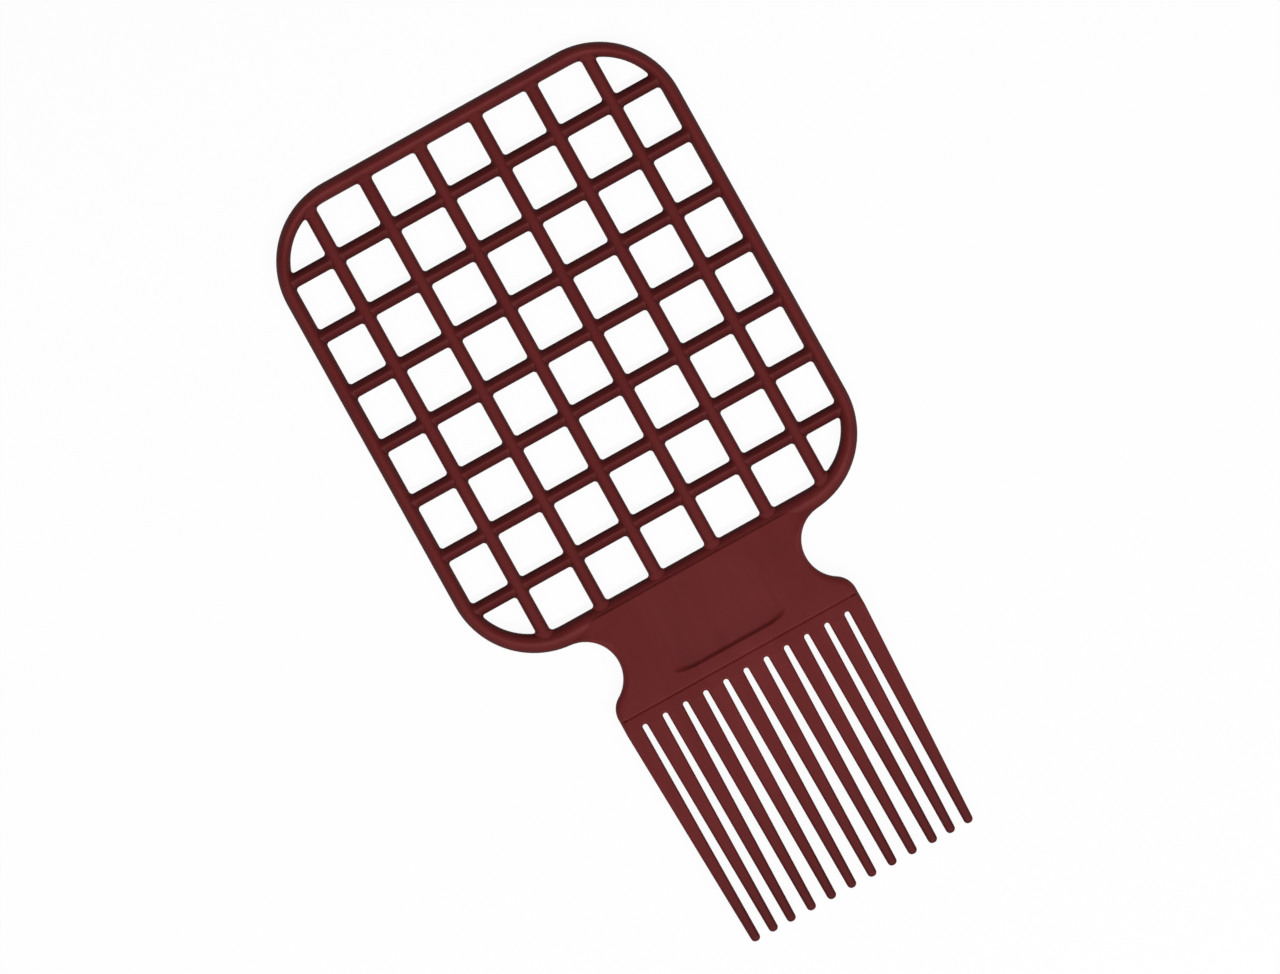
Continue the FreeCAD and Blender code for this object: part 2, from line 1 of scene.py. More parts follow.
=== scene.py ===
"""Afro pick: finished shapes and plastic of a one-piece moulded pick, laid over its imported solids.

The pick lies flat on its back. X runs across it, Y along it with the teeth towards -Y, and Z up through
its thickness. All lengths are in metres.
"""
from math import atan2, copysign, cos, hypot, pi, radians, sin, sqrt

import bmesh
import bpy
from bpy.props import FloatProperty, FloatVectorProperty, PointerProperty
from bpy.types import Operator, Panel, PropertyGroup
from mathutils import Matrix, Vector
from mathutils.geometry import delaunay_2d_cdt


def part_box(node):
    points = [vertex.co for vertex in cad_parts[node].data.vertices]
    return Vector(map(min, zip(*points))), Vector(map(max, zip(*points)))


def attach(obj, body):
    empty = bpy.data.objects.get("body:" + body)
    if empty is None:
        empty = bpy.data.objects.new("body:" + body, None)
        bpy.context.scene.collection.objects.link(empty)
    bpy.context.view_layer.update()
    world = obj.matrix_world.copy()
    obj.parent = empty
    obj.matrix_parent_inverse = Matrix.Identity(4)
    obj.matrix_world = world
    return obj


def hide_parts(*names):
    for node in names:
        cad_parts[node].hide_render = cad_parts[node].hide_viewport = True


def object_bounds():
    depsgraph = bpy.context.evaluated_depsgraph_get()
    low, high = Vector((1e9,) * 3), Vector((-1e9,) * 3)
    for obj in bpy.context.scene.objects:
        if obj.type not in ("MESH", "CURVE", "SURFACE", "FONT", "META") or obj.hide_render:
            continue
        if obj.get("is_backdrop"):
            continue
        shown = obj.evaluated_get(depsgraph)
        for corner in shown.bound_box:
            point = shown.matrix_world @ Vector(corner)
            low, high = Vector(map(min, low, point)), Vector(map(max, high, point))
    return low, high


bl_info = {
    "name": "Afro Pick",
    "version": (1, 0, 0),
    "blender": (4, 5, 0),
    "location": "View3D > Sidebar > Pick",
    "description": "Builds the finished members of a moulded afro pick over its packed solids",
    "category": "Object",
}

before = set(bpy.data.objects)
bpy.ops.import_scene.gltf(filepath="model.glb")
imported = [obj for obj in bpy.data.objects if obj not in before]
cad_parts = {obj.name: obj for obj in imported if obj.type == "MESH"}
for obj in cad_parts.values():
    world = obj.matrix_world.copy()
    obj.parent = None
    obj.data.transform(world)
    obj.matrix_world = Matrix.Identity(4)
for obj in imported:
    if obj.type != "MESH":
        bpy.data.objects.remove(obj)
CAD_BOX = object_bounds()
HALF_THICK = (CAD_BOX[1].z - CAD_BOX[0].z) / 2

MM = 0.001
BODY = "root"
PLASTIC = "maroon_plastic"

# How finely round shapes are divided.
SECTION_STEPS = 28
CORNER_STEPS = 24
ROUND_STEPS = 6
FILLET_STEPS = 8
TOOTH_STEPS = 14
REST_STEPS = 10
WEB_STEPS = 7

# How far the lines along the thumb rest's walls are spread, as a share of its depth.
REST_SPREAD = 0.9

# The share of a notch over which its edges' rounding grows, from the rim's end on.
NOTCH_GROWTH = 0.6

# Faces that meet at more than this angle keep a crisp edge between them.
CRISP = radians(50)

# A bend this sharp, in radians to the metre, counts as a full edge.
FULL_EDGE = 0.8 / MM

# The least radius and the least distance in a mesh, and the flat strip beside a rounded edge.
LEAST_ROUND = 0.05 * MM
LEAST_APART = 0.02 * MM
EDGE_STRIP = 0.06 * MM

# The filling asked for, triangles inside the border, and the distance at which spots count as one.
FILL_KIND = 1
SAME_SPOT = 1e-9

# Half the floor's side, and how far it lies below the pick.
FLOOR_REACH = 3.0
FLOOR_GAP = 0.02 * MM

# Where the crease's side points lie between its bottom and its edge.
CREASE_STOPS = (1.0, 0.5, 0.0)


def nodes_named(prefix):
    """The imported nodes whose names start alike, in order."""
    return sorted(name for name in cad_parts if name.startswith(prefix))


LONG_BARS = nodes_named("long_bar_")
CROSS_BARS = nodes_named("cross_bar_")
TEETH = [name for name in nodes_named("tooth_") if name != "tooth_bar"]


def length(name, description, millimetres):
    """A size that a user can change."""
    return FloatProperty(
        name=name,
        description=description,
        default=millimetres * MM,
        min=0.0,
        precision=5,
        subtype="DISTANCE",
        unit="LENGTH",
    )


def share(name, description, default, most=1.0):
    """A plain number that a user can change."""
    return FloatProperty(name=name, description=description, default=default, min=0.0, max=most)


def colour(name, description, default):
    """A colour that a user can change, in linear light."""
    return FloatVectorProperty(
        name=name,
        description=description,
        default=default,
        min=0.0,
        max=1.0,
        subtype="COLOR",
        size=3,
    )


class HandleSizes(PropertyGroup):
    """Sizes of the rim and of the lattice inside it."""

    corner_radius: length("Corner radius", "Radius of the rim's outer corners", 18.5)
    window_corner: length("Window corner", "Radius of the corners inside the rim", 14.1)
    foot_width: length("Foot width", "Width of the rim where the neck joins it", 4.6)
    rim_fullness: share("Rim fullness", "2 makes the rim round in section, less a ridged one", 1.55, 8)
    long_bar_fullness: share("Long bar fullness", "2 makes a round bar, more a squarer one", 2.3, 8)
    cross_bar_fullness: share("Cross bar fullness", "2 makes a round bar, less a ridged one", 1.25, 8)
    corner_fillet: length("Cell corner", "Radius of the cells' corners", 0.7)
    bar_seat: length("Bar seat", "How far a bar's end is let into its neighbour", 1.4)


class NeckSizes(PropertyGroup):
    """Sizes of the neck plate and of the bar that carries the teeth."""

    notch_radius: length("Notch radius", "Radius of the finger notches", 7.7)
    notch_bite: length("Notch bite", "How far a notch cuts in from the comb's side", 5.863)
    shoulder_radius: length("Shoulder radius", "Radius of the shoulders above the teeth", 4.7)
    edge_round: length("Edge rounding", "Rounding of the neck's and teeth's edges", 0.5)
    notch_round: length("Notch rounding", "Rounding of the edges in the notches and at the shoulders", 1.5)
    crease_depth: length("Crease depth", "Depth of the crease between the neck and the tooth bar", 0.25)
    crease_reach: length("Crease reach", "Half the width of the crease", 0.4)
    rest_width: length("Thumb rest width", "Width of the thumb rest's floor", 22.6)
    rest_length: length("Thumb rest length", "Length over which the thumb rest runs out", 16.4)
    rest_depth: length("Thumb rest depth", "Depth of the thumb rest at its lower wall", 0.7)
    rest_corner: length("Thumb rest corner", "Radius of the thumb rest's lower corners", 1.0)
    rest_ease: share("Thumb rest ease", "How many times flatter its sides are than its lower wall", 3.0, 8)
    rest_land: length("Thumb rest land", "Flat left between the crease and the thumb rest", 2.8)
    rest_blend: length("Thumb rest blend", "Rounding where the thumb rest's faces meet", 0.25)
    web_fall: length("Web fall", "How far the neck's faces fall where its flares run into the rim", 1.4)
    web_reach: length("Web reach", "Distance over which they fall", 8.0)


class ToothSizes(PropertyGroup):
    """Sizes of the teeth."""

    tip_width: length("Tip width", "Width of a tooth at its tip", 1.95)
    tip_thickness: length("Tip thickness", "Thickness of a tooth at its tip", 2.0)
    tip_edge: length("Tip edge rounding", "Rounding of a tooth's long edges at its tip", 0.8)
    tip_round: length("Tip rounding", "Rounding of a tooth's blunt end", 0.9)
    outer_lean: length("Outer lean", "How far the outermost teeth lean inwards at the tip", 1.13)
    second_lean: length("Second lean", "How far the teeth next to them lean inwards", 0.54)


class PlasticFinish(PropertyGroup):
    """Colours and gloss of the plastic, and the colour of its painted shade."""

    base: colour("Base colour", "Main colour of the plastic", (0.15, 0.0185, 0.019))
    deep: colour("Deep colour", "Colour of the darker streaks in the moulding", (0.108, 0.011, 0.0115))
    worn: colour("Worn colour", "Colour of rubbed edges", (0.2, 0.036, 0.035))
    # Painted shade: the colour that the plastic is darkened to towards its mid-plane, where the lower bars
    # and the sides lie.
    painted_shade_colour: colour("Sunk colour", "Colour low down, where grime stays", (0.048, 0.0036, 0.004))
    roughness: share("Roughness", "Mean roughness of the surface", 0.54)
    shine: share("Shine", "Strength of reflections off the surface", 0.1)
    rubbing: share("Rubbing", "How far rubbed edges take the worn colour", 0.1)
    # Where the painted shade starts and where it is full, as shares of half the thickness in from the front
    # and back faces.
    shade_start: share("Shade start", "Depth where grime starts, as a share of half the thickness", 0.28)
    shade_full: share("Shade full", "Depth where grime is full, as a share of half the thickness", 0.88)


class StageLook(PropertyGroup):
    """The view and the light."""

    view_width: length("View width", "Width of what the picture shows", 263.7)
    view_turn: FloatProperty(
        name="View turn",
        description="How far the pick is turned in the picture",
        default=radians(-29.08),
        subtype="ANGLE",
        unit="ROTATION",
    )
    view_middle: FloatVectorProperty(
        name="View middle",
        description="The place on the pick at the middle of the picture",
        default=(-0.78 * MM, 3.45 * MM),
        size=2,
        precision=5,
        subtype="XYZ",
        unit="LENGTH",
    )
    lens: FloatProperty(name="Lens", description="Focal length in millimetres", default=200.0, min=20.0)
    key_power: FloatProperty(
        name="Key light",
        description="Power of the long lamp above the pick",
        default=27.0,
        subtype="POWER",
        unit="POWER",
    )
    key_tilt: FloatProperty(
        name="Key tilt",
        description="How far the lamp stands from straight above towards the teeth",
        default=radians(31),
        subtype="ANGLE",
        unit="ROTATION",
    )
    key_away: length("Key distance", "Distance of the lamp from the pick", 1500)
    key_width: length("Key width", "Length of the lamp across the pick", 2500)
    key_depth: length("Key depth", "Width of the lamp along the pick", 300)
    sky_level: share("Sky", "Level of the even light from all round", 0.1)
    paper: colour("Paper", "Colour of the floor and the backdrop", (1.0, 1.0, 1.0))
    paper_glow: share("Paper glow", "How far the floor shows as plain paper, free of shadow", 0.94)


class PickSettings(PropertyGroup):
    """Everything that a user can change about the pick."""

    handle: PointerProperty(type=HandleSizes)
    neck: PointerProperty(type=NeckSizes)
    teeth: PointerProperty(type=ToothSizes)
    finish: PointerProperty(type=PlasticFinish)
    stage: PointerProperty(type=StageLook)


class Socket:
    """A socket of a node tree. Operators on it add Math nodes, and node() adds any other node."""

    def __init__(self, tree, output=None):
        self.tree = tree
        self.output = output

    def node(self, kind, settings=None, inputs=None, output=0):
        """Adds a node, sets its settings and then its sockets, and gives one of its outputs."""
        made = self.tree.nodes.new(kind)
        for name, setting in (settings or {}).items():
            setattr(made, name, setting)
        for name, value in (inputs or {}).items():
            if isinstance(value, Socket):
                self.tree.links.new(value.output, made.inputs[name])
            else:
                made.inputs[name].default_value = value
        return Socket(self.tree, made.outputs[output] if made.outputs else None)

    def math(self, operation, first, second=0.0):
        """A Math node on one value or two."""
        return self.node("ShaderNodeMath", {"operation": operation}, {0: first, 1: second})

    def larger(self, other):
        """The larger of two values."""
        return self.math("MAXIMUM", self, other)

    def mix(self, factor, first, second):
        """A blend of two colours."""
        settings = {"data_type": "RGBA", "clamp_factor": True}
        return self.node("ShaderNodeMix", settings, {0: factor, 6: first, 7: second}, 2)

    def ramp(self, low, high):
        """0 below the low value, 1 above the high one and an even slope between them."""
        inputs = {"Value": self, "From Min": low, "From Max": high}
        return self.node("ShaderNodeMapRange", {"clamp": True}, inputs)

    def stretched(self, factors):
        """A vector multiplied along each axis."""
        return self.node("ShaderNodeVectorMath", {"operation": "MULTIPLY"}, {0: self, 1: factors})

    def noise(self, scale, detail=2.0):
        """Cloudy noise over a vector."""
        inputs = {"Vector": self, "Scale": scale, "Detail": detail}
        return self.node("ShaderNodeTexNoise", {"noise_dimensions": "3D"}, inputs)

    def __abs__(self):
        return self.math("ABSOLUTE", self)

    def __add__(self, other):
        return self.math("ADD", self, other)

    def __radd__(self, other):
        return self.math("ADD", other, self)

    def __sub__(self, other):
        return self.math("SUBTRACT", self, other)

    def __rsub__(self, other):
        return self.math("SUBTRACT", other, self)

    def __mul__(self, other):
        return self.math("MULTIPLY", self, other)


def new_material(name):
    """An empty node material, and a socket to start its tree from."""
    material = bpy.data.materials.new(name)
    material.use_nodes = True
    material.node_tree.nodes.clear()
    return material, Socket(material.node_tree)


def maroon_plastic(finish):
    """Moulded maroon plastic with flow streaks, fine grain, scratches, rubbed edges, and painted shade that
    darkens it towards its mid-plane.
    """
    material = bpy.data.materials.get(PLASTIC)
    if material:
        return material
    material, start = new_material(PLASTIC)
    # Places are in millimetres, so a noise's scale is its number of waves to the millimetre.
    place = start.node("ShaderNodeTexCoord", output="Object").stretched((1 / MM, 1 / MM, 1 / MM))
    streaks = place.stretched((1.0, 0.14, 1.0)).noise(0.22, detail=4.0)
    clouds = place.noise(0.09, detail=3.0)
    grain = place.noise(3.5, detail=3.0)
    peel = place.noise(1.1, detail=1.0)
    along = place.stretched((6.0, 0.05, 1.0)).noise(1.0).ramp(0.66, 0.72)
    across = place.stretched((0.06, 5.0, 1.0)).noise(1.0).ramp(0.67, 0.73)
    scratches = along.larger(across) * clouds.ramp(0.4, 0.6)
    edge = start.node("ShaderNodeAttribute", {"attribute_name": "edge"}, output="Fac")
    rubbed = edge * (streaks * 0.6 + grain * 0.4).ramp(0.35, 0.65)

    # Painted shade: the colour darkens from the front and back faces towards the mid-plane, so the lower
    # cross bars and the pick's sides look shaded.
    above = start.node("ShaderNodeSeparateXYZ", None, {"Vector": place}, "Z") - HALF_THICK / MM
    depth = 1.0 - abs(above) * (MM / HALF_THICK)
    painted_shade = (depth + grain * 0.12).ramp(finish.shade_start, finish.shade_full)

    tone = streaks.ramp(0.3, 0.7) * 0.45 + clouds.ramp(0.3, 0.7) * 0.35 + grain * 0.2
    body = start.mix(tone, (*finish.deep, 1.0), (*finish.base, 1.0))
    rubbed_body = start.mix(rubbed * finish.rubbing + scratches * 0.08, body, (*finish.worn, 1.0))
    # The painted shade goes over the body's colour.
    skin = start.mix(painted_shade, rubbed_body, (*finish.painted_shade_colour, 1.0))
    gloss = finish.roughness - 0.06 + clouds * 0.08 + grain * 0.04 + scratches * 0.12 - rubbed * 0.03
    height = peel * 0.6 + grain * 0.25 - scratches * 0.15
    relief = start.node("ShaderNodeBump", None, {"Strength": 0.12, "Distance": 0.05 * MM, "Height": height})
    shader = start.node(
        "ShaderNodeBsdfPrincipled",
        None,
        {"Base Color": skin, "Roughness": gloss, "Normal": relief, "Specular IOR Level": finish.shine},
    )
    start.node("ShaderNodeOutputMaterial", None, {"Surface": shader})
    return material


def mark_edges(bm):
    """Stores how sharply each vertex stands out, so that the finish can rub the edges."""
    layer = bm.verts.layers.float.new("edge")
    for edge in bm.edges:
        if len(edge.link_faces) != 2:
            continue
        one, other = (face.calc_center_median() for face in edge.link_faces)
        apart = max((one - other).length, LEAST_APART)
        bend = edge.calc_face_angle_signed(0.0) / apart
        for vert in edge.verts:
            vert[layer] = min(1.0, max(vert[layer], bend / FULL_EDGE))


def add_piece(settings, node, bm):
    """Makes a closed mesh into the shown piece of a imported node."""
    name = f"moulded_{node}"
    old = bpy.data.objects.get(name)
    if old:
        bpy.data.objects.remove(old)
    bmesh.ops.recalc_face_normals(bm, faces=bm.faces)
    mark_edges(bm)
    mesh = bpy.data.meshes.new(name)
    bm.to_mesh(mesh)
    bm.free()
    mesh.shade_smooth()
    mesh.set_sharp_from_angle(angle=CRISP)
    mesh.materials.append(maroon_plastic(settings.finish))
    piece = bpy.data.objects.new(name, mesh)
    bpy.context.scene.collection.objects.link(piece)
    piece.modifiers.new("even_flats", "WEIGHTED_NORMAL").keep_sharp = True
    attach(piece, BODY)
    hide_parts(node)


def bridge(bm, one, other):
    """A band of faces between two loops of vertices."""
    for k in range(len(one)):
        after = (k + 1) % len(one)
        bm.faces.new((one[k], one[after], other[after], other[k]))


def loft(bm, rings):
    """A closed skin through rings of points, with flat ends."""
    loops = [[bm.verts.new(point) for point in ring] for ring in rings]
    for one, other in zip(loops, loops[1:]):
        bridge(bm, one, other)
    bm.faces.new(loops[0])
    bm.faces.new(loops[-1])


def full_section(fullness):
    """Points round a bar's section, as shares of its half width and its half thickness."""
    points = []
    for k in range(SECTION_STEPS):
        turn = 2 * pi * k / SECTION_STEPS
        side = copysign(abs(cos(turn)) ** (2 / fullness), cos(turn))
        height = copysign(abs(sin(turn)) ** (2 / fullness), sin(turn))
        points.append((side, height))
    return points


def round_rectangle(half_width, foot, head, radius):
    """Points round a rectangle with round corners, anticlockwise from the right end of its foot."""
    across = half_width - radius
    low = foot + radius
    high = head - radius
    centres = [(across, low), (across, high), (-across, high), (-across, low)]
    points = []
    for corner, (x, y) in enumerate(centres):
        for k in range(CORNER_STEPS + 1):
            turn = (corner - 1 + k / CORNER_STEPS) * pi / 2
            points.append(Vector((x + radius * cos(turn), y + radius * sin(turn))))
    return points


class Window:
    """The opening inside the rim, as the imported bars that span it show."""

    def __init__(self, handle):
        middle_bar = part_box(LONG_BARS[len(LONG_BARS) // 2])
        middle_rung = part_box(CROSS_BARS[len(CROSS_BARS) // 2])
        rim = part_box("handle_rim")
        self.foot = middle_bar[0].y
        self.head = middle_bar[1].y
        self.half_width = middle_rung[1].x
        self.radius = handle.window_corner
        self.mid_height = (rim[0].z + rim[1].z) / 2

    def side_at(self, y):
        """Half the width of the opening at a place along the pick."""
        past = max(0.0, y - self.head + self.radius, self.foot + self.radius - y)
        return self.half_width - self.radius + sqrt(self.radius**2 - past**2)

    def rise_at(self, x):
        """How far the opening's corner draws its ends in at a place across the pick."""
        past = max(0.0, abs(x) - self.half_width + self.radius)
        return self.radius - sqrt(self.radius**2 - past**2)


def bar_rings(handle, start_at, end_at, half_width, half_height, fullness, place):
    """Rings of a bar between two walls. Its ends spread into the walls and run on a little inside them."""
    fillet = handle.corner_fillet
    turns = [pi / 2 * k / FILLET_STEPS for k in range(FILLET_STEPS + 1)]
    reaches = [(-handle.bar_seat, 1.0)] + [(fillet * (1 - cos(t)), 1 - sin(t)) for t in turns]

    def ring(wall_at, way, depth, spread):
        points = []
        for side, height in full_section(fullness):
            off = side * (half_width + spread * fillet)
            points.append(place(wall_at(off) + way * depth, off, height * half_height))
        return points

    rings = [ring(start_at, 1, *reach) for reach in reaches]
    rings += [ring(end_at, -1, *reach) for reach in reversed(reaches)]
    return rings


def make_rim(settings):
    """The rim, a rounded hoop whose foot runs through the head of the neck."""
    handle = settings.handle
    low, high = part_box("handle_rim")
    window = Window(handle)
    outside = round_rectangle(high.x, window.foot - handle.foot_width, high.y, handle.corner_radius)
    inside = round_rectangle(window.half_width, window.foot, window.head, window.radius)
    half_height = (high.z - low.z) / 2
    bm = bmesh.new()
    loops = []
    for out, into in zip(outside, inside):
        middle = (out + into) / 2
        half = (out - into) / 2
        ring = []
        for side, height in full_section(handle.rim_fullness):
            spot = middle + half * side
            ring.append(bm.verts.new((spot.x, spot.y, window.mid_height + height * half_height)))
        loops.append(ring)
    for one, other in zip(loops, loops[1:] + loops[:1]):
        bridge(bm, one, other)
    add_piece(settings, "handle_rim", bm)


def make_long_bar(settings, node):
    """One long bar, from the foot of the window to its head."""
    handle = settings.handle
    window = Window(handle)
    low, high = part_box(node)
    x = (low.x + high.x) / 2

    def foot_at(off):
        return window.foot + window.rise_at(x + off)

    def head_at(off):
        return window.head - window.rise_at(x + off)

    def place(run, off, up):
        return (x + off, run, window.mid_height + up)

    half_width = (high.x - low.x) / 2
    half_height = (high.z - low.z) / 2
    bm = bmesh.new()
    loft(bm, bar_rings(handle, foot_at, head_at, half_width, half_height, handle.long_bar_fullness, place))
    add_piece(settings, node, bm)


def make_cross_bar(settings, node):
    """One cross bar, in rungs between the long bars and the rim."""
    handle = settings.handle
    window = Window(handle)
    low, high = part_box(node)
    y = (low.y + high.y) / 2
    walls = [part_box(name) for name in LONG_BARS]

    def place(run, off, up):
        return (run, y + off, window.mid_height + up)

    lefts = [lambda off: -window.side_at(y + off)] + [lambda off, at=wall[1].x: at for wall in walls]
    rights = [lambda off, at=wall[0].x: at for wall in walls] + [lambda off: window.side_at(y + off)]
    half_width = (high.y - low.y) / 2
    half_height = (high.z - low.z) / 2
    bm = bmesh.new()
    for left, right in zip(lefts, rights):
        loft(bm, bar_rings(handle, left, right, half_width, half_height, handle.cross_bar_fullness, place))
    add_piece(settings, node, bm)


def lies_inside(spot, border):
    """Whether a spot lies inside a closed border, by the border's crossings to its right."""
    crossings = 0
    for one, other in zip(border, border[1:] + border[:1]):
        if (one.y > spot.y) != (other.y > spot.y):
            at = one.x + (spot.y - one.y) / (other.y - one.y) * (other.x - one.x)
            crossings += at > spot.x
    return crossings % 2 == 1


def fill(bm, loop, height, lines, ties):
    """Fills a loop of vertices with faces that follow some lines inside it and ties across it."""
    verts = list(loop)
    edges = list(ties)
    for line in lines:
        first = len(verts)
        verts += [bm.verts.new((x, y, height(x, y))) for x, y in line]
        edges += [(k, k + 1) for k in range(first, len(verts) - 1)]
    spots = [vert.co.xy for vert in verts]
    border = spots[: len(loop)]
    found = delaunay_2d_cdt(spots, edges, [list(range(len(loop)))], FILL_KIND, SAME_SPOT, True)
    faces, sources = found[2:4]
    for face in faces:
        corners = [sources[k][0] for k in face]
        if lies_inside(sum((spots[k] for k in corners), Vector((0, 0))) / len(corners), border):
            bm.faces.new([verts[k] for k in corners])


def plate(bm, outline, top, bottom, rounding, top_lines, bottom_lines, ties):
    """A plate with rounded edges.

    Each outline point comes with the way from it into the plate. Where that way is longer than 1, the
    edge is rounded that many times more.
    """
    support = rounding + EDGE_STRIP
    turns = [pi / 2 * k / ROUND_STEPS for k in range(ROUND_STEPS + 1)]
    profile = [(support, 0.0)] + [(rounding * (1 - sin(t)), rounding * (1 - cos(t))) for t in turns]

    def loop(inset, height, rise):
        verts = []
        for point, inward in outline:
            x, y = point + inward * inset
            verts.append(bm.verts.new((x, y, height(x, y) + rise * inward.length)))
        return verts

    loops = [loop(inset, top, -drop) for inset, drop in profile]
    loops += [loop(inset, bottom, drop) for inset, drop in reversed(profile)]
    for one, other in zip(loops, loops[1:]):
        bridge(bm, one, other)
    fill(bm, loops[0], top, top_lines, ties)
    fill(bm, loops[-1], bottom, bottom_lines, ties)


def arc(centre, radius, start, end, steps, hollow=False):
    """Outline points along an arc. The plate lies inside it, or outside it where the arc is hollow."""
    points = []
    for k in range(steps + 1):
        turn = start + (end - start) * k / steps
        out = Vector((cos(turn), sin(turn)))
        points.append((centre + out * radius, out if hollow else -out))
    return points


def mirrored(outline):
    """The same outline on the other side, run the other way."""
    flip = Vector((-1, 1))
    return [(point * flip, inward * flip) for point, inward in reversed(outline)]


def smooth(part):
    """Eases from 0 to 1."""
    part = min(1.0, max(0.0, part))
    return part * part * (3 - 2 * part)


def soft_min(one, other, blend):
    """The lesser of two values, rounded over where they meet."""
    near = max(blend - abs(one - other), 0.0) / blend
    return min(one, other) - near * near * blend / 4


class Neck:
    """The neck's outline and the heights of its faces."""

    def __init__(self, settings):
        self.sizes = settings.neck
        self.low, self.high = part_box("neck_plate")
        self.comb_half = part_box("tooth_bar")[1].x
        self.crease_y = self.low.y
        self.rest_floor_y = self.crease_y + self.sizes.rest_land + self.sizes.rest_depth
        self.rest_head_y = self.rest_floor_y + self.sizes.rest_length
        self.corner_radius = settings.handle.corner_radius
        self.corner_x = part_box("handle_rim")[1].x - self.corner_radius
        self.rim_foot_y = Window(settings.handle).foot - settings.handle.foot_width
        notch_x = self.comb_half - self.sizes.notch_bite + self.sizes.notch_radius
        reach = self.corner_radius + self.sizes.notch_radius
        fall = sqrt(reach**2 - (notch_x - self.corner_x) ** 2)
        self.notch = Vector((notch_x, self.rim_foot_y + self.corner_radius - fall))
        self.flare_x = notch_x - (notch_x - self.corner_x) * self.sizes.notch_radius / reach

    def half_outline(self):
        """The right half from the head to the crease: round nose, finger notch, shoulder and side."""
        sizes = self.sizes
        notch = self.notch
        corner = Vector((self.corner_x, self.rim_foot_y + self.corner_radius))
        flare = (corner - notch).normalized()
        flare_spot = notch + flare * sizes.notch_radius
        nose_radius = (self.high.y - flare_spot.y) / (1 + flare.y)
        nose = flare_spot + flare * nose_radius
        shoulder_x = self.comb_half - sizes.shoulder_radius
        shoulder_reach = sizes.notch_radius + sizes.shoulder_radius
        shoulder_fall = sqrt(shoulder_reach**2 - (notch.x - shoulder_x) ** 2)
        shoulder = Vector((shoulder_x, notch.y - shoulder_fall))
        flare_turn = atan2(flare.y, flare.x)
        bend_turn = atan2(notch.y - shoulder.y, notch.x - shoulder.x)
        stops = [nose.x * (k + 0.5) / CORNER_STEPS for k in range(CORNER_STEPS)]
        outline = [(Vector((x, self.high.y)), Vector((0, -1))) for x in stops]
        outline += arc(nose, nose_radius, pi / 2, flare_turn - pi, CORNER_STEPS // 2)
        bend = arc(notch, sizes.notch_radius, flare_turn, bend_turn + pi, 2 * CORNER_STEPS, hollow=True)
        grown = NOTCH_GROWTH * len(bend)
        outline += [self.fuller(*spot, k / grown) for k, spot in enumerate(bend)][1:]
        side = arc(shoulder, sizes.shoulder_radius, bend_turn, 0.0, CORNER_STEPS)[1:]
        outline += [self.fuller(*spot) for spot in side]
        return outline + self.crease_side(self.comb_half, 1)

    def fuller(self, point, inward, part=1.0):
        """An outline point whose edge is rounded more, up to the rounding in the notches."""
        swell = self.sizes.notch_round / self.sizes.edge_round - 1
        return point, inward * (1 + swell * smooth(part))

    def crease_side(self, x, way):
        """Side points at the crease, from its edge to its bottom."""
        ys = [self.crease_y + way * stop * self.sizes.crease_reach for stop in CREASE_STOPS]
        return [self.fuller(Vector((x, y)), Vector((-1, 0))) for y in ys]

    def crease(self, y):
        """Depth of the crease at a place along the pick."""
        away = min(1.0, abs(y - self.crease_y) / self.sizes.crease_reach)
        return self.sizes.crease_depth * (1 - away) ** 2

    def rest(self, x, y):
        """Depth of the thumb rest at a place on the front."""
        sizes = self.sizes
        floor = sizes.rest_depth * (1 - max(0.0, y - self.rest_floor_y) / sizes.rest_length)
        off_x = (abs(x) - sizes.rest_width / 2) / sizes.rest_ease + sizes.rest_corner
        off_y = self.rest_floor_y + sizes.rest_corner - y
        inside = sizes.rest_corner - hypot(max(off_x, 0.0), max(off_y, 0.0)) - min(max(off_x, off_y), 0.0)
        wall = floor + soft_min(inside, 0.0, sizes.rest_blend)
        return -soft_min(-wall, 0.0, sizes.rest_blend / 2)

    def web(self, x, y):
        """How far a face falls at a place near the ends of the neck's head."""
        reach = self.sizes.web_reach
        outwards = smooth((abs(x) - self.flare_x + reach) / reach)
        upwards = smooth((y - self.rim_foot_y + reach / 2) / (reach / 2))
        return self.sizes.web_fall * outwards * upwards

    def top(self, x, y):
        """Height of the front at a place on the neck."""
        return self.high.z - self.crease(y) - self.rest(x, y) - self.web(x, y)

    def bottom(self, x, y):
        """Height of the back at a place on the neck."""
        return self.low.z + self.crease(y) + self.web(x, y)

    def rest_lines(self):
        """Lines that follow the thumb rest's walls, from its head down one side and up the other."""
        sizes = self.sizes
        centre_x = sizes.rest_width / 2 / sizes.rest_ease - sizes.rest_corner
        centre = Vector((centre_x, self.rest_floor_y + sizes.rest_corner))
        rise = self.rest_head_y - centre.y
        widen = Vector((sizes.rest_ease, 1))
        lines = []
        for k in range(-REST_STEPS, 2 * REST_STEPS):
            radius = sizes.rest_corner + sizes.rest_depth * k / REST_STEPS * REST_SPREAD
            right = [point * widen for point, _ in arc(centre, radius, -pi / 2, 0.0, REST_STEPS)]
            out = right[-1].x
            right += [Vector((out, centre.y + rise * n / REST_STEPS)) for n in range(1, REST_STEPS + 1)]
            lines.append([point * Vector((-1, 1)) for point in reversed(right)] + right)
        return lines

    def web_lines(self):
        """Lines up and down the neck's flares, so that its faces can fall there."""
        sizes = self.sizes
        lines = []
        for k in range(WEB_STEPS):
            x = self.flare_x - sizes.web_reach * (1 - k / WEB_STEPS)
            past = (sizes.notch_radius + sizes.notch_round) ** 2 - (self.notch.x - x) ** 2
            foot = self.notch.y + sqrt(max(0.0, past))
            head = self.high.y - 2 * sizes.edge_round
            ys = [foot + (head - foot) * n / WEB_STEPS for n in range(WEB_STEPS + 1)]
            for side in (-1, 1):
                lines.append([Vector((side * x, y)) for y in ys])
        return lines


